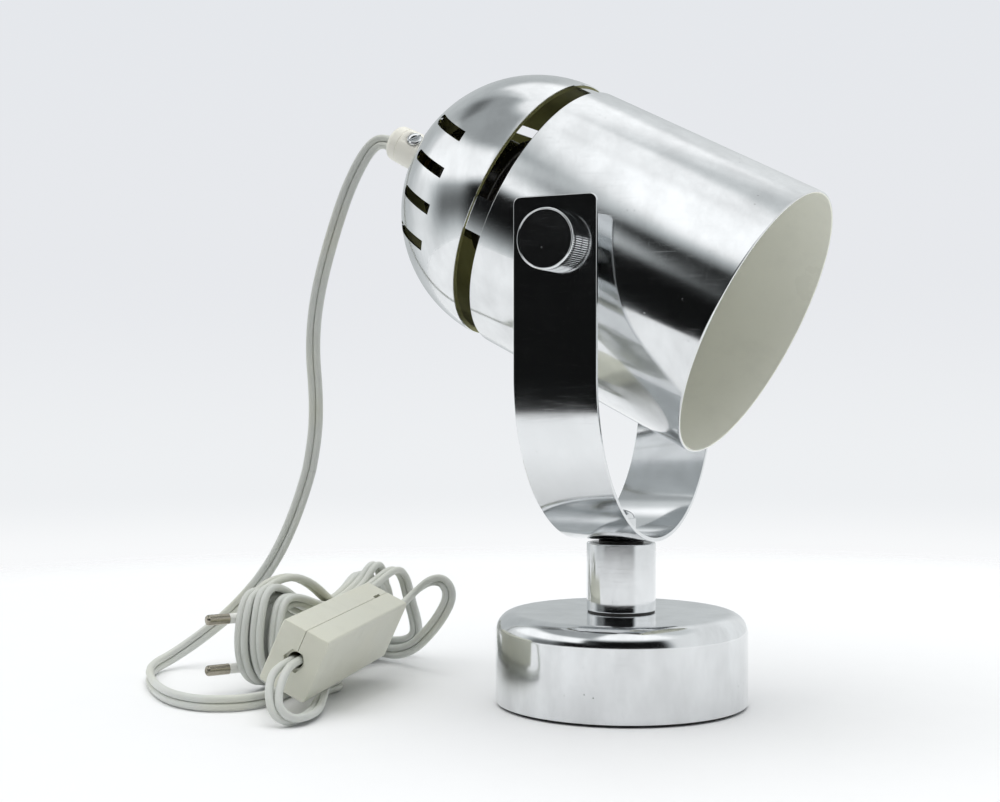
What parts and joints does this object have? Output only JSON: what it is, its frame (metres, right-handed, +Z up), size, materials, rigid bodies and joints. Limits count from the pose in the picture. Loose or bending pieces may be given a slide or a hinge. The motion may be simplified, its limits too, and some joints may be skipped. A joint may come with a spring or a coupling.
{
  "type": "tabletop searchlight lamp",
  "caption": "Chromed bullet-shaped spot lamp in a U-shaped yoke on a round weighted base, with tilt knobs, a flat cord, an inline rocker switch and a two-pin plug.",
  "frame": {"origin": "centre of the underside of the base, on the table", "axes": "+Z up; +X the way the head points; Y along the tilt axis"},
  "size_m": [0.2665, 0.159, 0.2281],
  "materials": {
    "chrome": "polished",
    "pad": "matte",
    "iron": "rough",
    "steel": "satin",
    "dark_ring": "matte",
    "white_plastic": "smooth",
    "brass": "satin",
    "bakelite": "smooth",
    "porcelain": "smooth",
    "ivory_plastic": "smooth",
    "grey_plastic": "satin",
    "cord_plastic": "satin",
    "pin_metal": "satin"
  },
  "bodies": {
    "base": {"base_cover": "chrome", "foot_pad": "pad", "base_weight": "iron", "foot_washer": "steel", "foot_nut": "steel", "stem_foot_ring": "dark_ring", "stem_tube": "chrome", "stem_lower_bush": "steel", "stem_upper_bush": "steel", "friction_washer": "dark_ring", "clamp_washer": "steel", "cap_nut": "chrome", "tie_rod": "steel", "switch_cover": "grey_plastic", "switch_back": "grey_plastic", "case_screws": "steel", "rocker_pin": "steel", "switch_contacts": "brass", "cord_clamps": "grey_plastic", "plug_body": "cord_plastic", "plug_pins": "pin_metal", "cord_upper": "cord_plastic", "cord_lower": "cord_plastic", "cord_lead": "cord_plastic", "cord_tail": "cord_plastic", "cord_hank": "cord_plastic"},
    "head": {"shade_tube": "chrome", "dome_shell": "chrome", "spacer_near": "white_plastic", "spacer_far": "white_plastic", "threaded_insert_near": "brass", "threaded_insert_far": "brass", "threaded_nipple": "brass", "lock_nut": "brass", "lampholder_cap": "bakelite", "lampholder_skirt": "bakelite", "screw_socket": "brass", "contact_block": "porcelain", "centre_contact": "brass", "cord_grip": "ivory_plastic", "grip_screw": "chrome"},
    "yoke": {"yoke_strap": "chrome"},
    "knob_near": {"knob_near": "chrome"},
    "knob_far": {"knob_far": "chrome"},
    "rocker": {"switch_rocker": "grey_plastic"}
  },
  "joints": [
    {"name": "yoke_swivel", "type": "hinge", "parent": "base", "child": "yoke", "pos_m": [0, 0, 0.0587], "axis": [0, 0, 1], "range_deg": [-90, 90]},
    {"name": "head_tilt", "type": "hinge", "parent": "yoke", "child": "head", "pos_m": [0, 0, 0.161], "axis": [0, 1, 0], "range_deg": [-70, 60]},
    {"name": "knob_near_turn", "type": "hinge", "parent": "head", "child": "knob_near", "pos_m": [0, -0.058, 0.161], "axis": [0, -1, 0], "range_deg": [0, 360]},
    {"name": "knob_far_turn", "type": "hinge", "parent": "head", "child": "knob_far", "pos_m": [0, 0.058, 0.161], "axis": [0, 1, 0], "range_deg": [0, 360]},
    {"name": "rocker_tilt", "type": "hinge", "parent": "base", "child": "rocker", "pos_m": [-0.10247, -0.03695, 0.02351], "axis": [0.4322, 0.0282, 0.9013], "range_deg": [-7, 7]}
  ]
}
